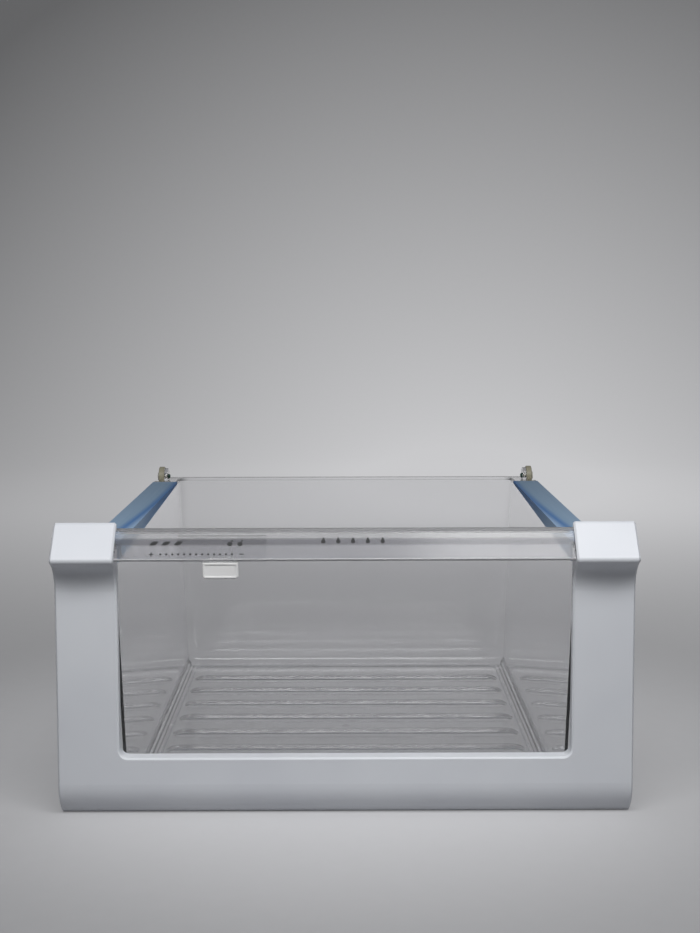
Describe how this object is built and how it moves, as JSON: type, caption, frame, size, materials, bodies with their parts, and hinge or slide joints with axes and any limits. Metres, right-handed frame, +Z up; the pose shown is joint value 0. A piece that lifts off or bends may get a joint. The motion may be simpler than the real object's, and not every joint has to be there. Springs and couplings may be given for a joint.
{
  "type": "refrigerator crisper drawer",
  "caption": "Clear refrigerator crisper drawer with a white flared front frame, clear handle rail, sliding humidity control, blue runner strips and rear rollers.",
  "frame": {"origin": "centre of the drawer's box at the level that it stands on", "axes": "+X to the right as seen from the front, -Y out of the front, +Z up"},
  "size_m": [0.3946, 0.415, 0.203],
  "materials": {
    "clear_tub": "clear moulded styrene, polished",
    "white_front": "white moulded plastic, satin",
    "clear_rail": "clear moulded styrene, polished",
    "white_button": "white moulded plastic, satin",
    "clear_shutter": "clear moulded plastic, lightly frosted",
    "blue_strip": "blue translucent extruded plastic, matt",
    "roller_cream": "cream moulded acetal",
    "pin_green": "dark moulded nylon"
  },
  "bodies": {
    "drawer": {"tub": "clear_tub", "front_frame": "white_front", "handle_rail": "clear_rail", "left_runner_strip": "blue_strip", "right_runner_strip": "blue_strip", "left_roller_pin": "pin_green", "right_roller_pin": "pin_green"},
    "humidity_slide": {"slider_button": "white_button", "vent_shutter": "clear_shutter"},
    "left_roller": {"left_roller": "roller_cream"},
    "right_roller": {"right_roller": "roller_cream"}
  },
  "joints": [
    {"name": "humidity_travel", "type": "slide", "parent": "drawer", "child": "humidity_slide", "axis": [1, 0, 0], "range_m": [-0.04, 0.008]},
    {"name": "left_roller_spin", "type": "hinge", "parent": "drawer", "child": "left_roller", "pos_m": [-0.1731, 0.19, 0.1885], "axis": [1, 0, 0], "continuous": true},
    {"name": "right_roller_spin", "type": "hinge", "parent": "drawer", "child": "right_roller", "pos_m": [0.1731, 0.19, 0.1885], "axis": [1, 0, 0], "continuous": true}
  ]
}
